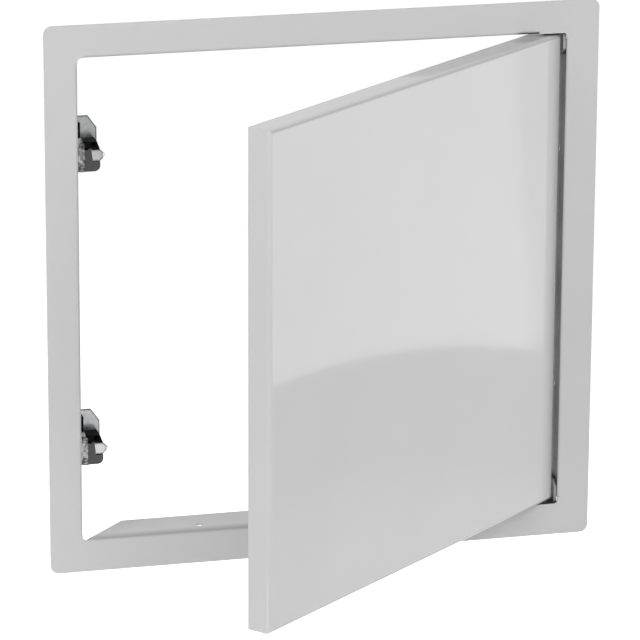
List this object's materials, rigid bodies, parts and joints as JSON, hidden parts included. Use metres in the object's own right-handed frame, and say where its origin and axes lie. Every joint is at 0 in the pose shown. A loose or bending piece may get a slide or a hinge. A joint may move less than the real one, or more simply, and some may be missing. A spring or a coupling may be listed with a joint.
{
  "type": "ceiling access panel",
  "caption": "Square sheet-steel access panel: a flanged frame with folded returns, a hinged pan door on corner pivots and sprung snap latches that hold the door shut.",
  "frame": {"origin": "middle of the clear opening, on the plane where the flange's back lies on the ceiling or wall", "axes": "+X to the hinge side, +Y back into the ceiling or wall, +Z along the hinge axis, up as in the picture"},
  "size_m": [0.34, 0.2145, 0.34],
  "materials": {
    "powder_coat": "satin white powder coat on steel sheet",
    "zinc_steel": "bright zinc plate",
    "dark_steel": "dark phosphated steel",
    "black_plastic": "fine moulded texture",
    "nickel": "nickel-plated die casting",
    "bush_plastic": "black nylon"
  },
  "bodies": {
    "frame": {"frame": "powder_coat", "hinge_bracket_top": "powder_coat", "hinge_bracket_bottom": "powder_coat", "hinge_pin_top": "zinc_steel", "hinge_pin_bottom": "zinc_steel", "latch_bracket_upper": "zinc_steel", "latch_bracket_lower": "zinc_steel", "latch_rivets_upper": "zinc_steel", "latch_rivets_lower": "zinc_steel", "latch_housing_upper": "black_plastic", "latch_housing_lower": "black_plastic", "latch_cover_upper": "dark_steel", "latch_cover_lower": "dark_steel", "latch_strap_upper": "zinc_steel", "latch_strap_lower": "zinc_steel", "latch_screws_upper": "zinc_steel", "latch_screws_lower": "zinc_steel", "latch_spring_upper": "zinc_steel", "latch_spring_lower": "zinc_steel"},
    "door": {"door_panel": "powder_coat", "hinge_bush_top": "bush_plastic", "hinge_bush_bottom": "bush_plastic", "keeper_upper": "zinc_steel", "keeper_lower": "zinc_steel", "keeper_studs": "zinc_steel", "keeper_nuts": "zinc_steel"},
    "tongue_upper": {"latch_tongue_upper": "nickel"},
    "tongue_lower": {"latch_tongue_lower": "nickel"}
  },
  "joints": [
    {"name": "door_hinge", "type": "hinge", "parent": "frame", "child": "door", "pos_m": [0.141, 0.004, 0], "axis": [0, 0, 1], "range_deg": [-40, 60]},
    {"name": "tongue_upper_slide", "type": "slide", "parent": "frame", "child": "tongue_upper", "axis": [1, 0, 0], "range_m": [-0.0035, 0], "stiffness_N_per_m": 150, "springref_m": 0.004, "deforming": ["latch_spring_upper"]},
    {"name": "tongue_lower_slide", "type": "slide", "parent": "frame", "child": "tongue_lower", "axis": [1, 0, 0], "range_m": [-0.0035, 0], "stiffness_N_per_m": 150, "springref_m": 0.004, "deforming": ["latch_spring_lower"]}
  ]
}
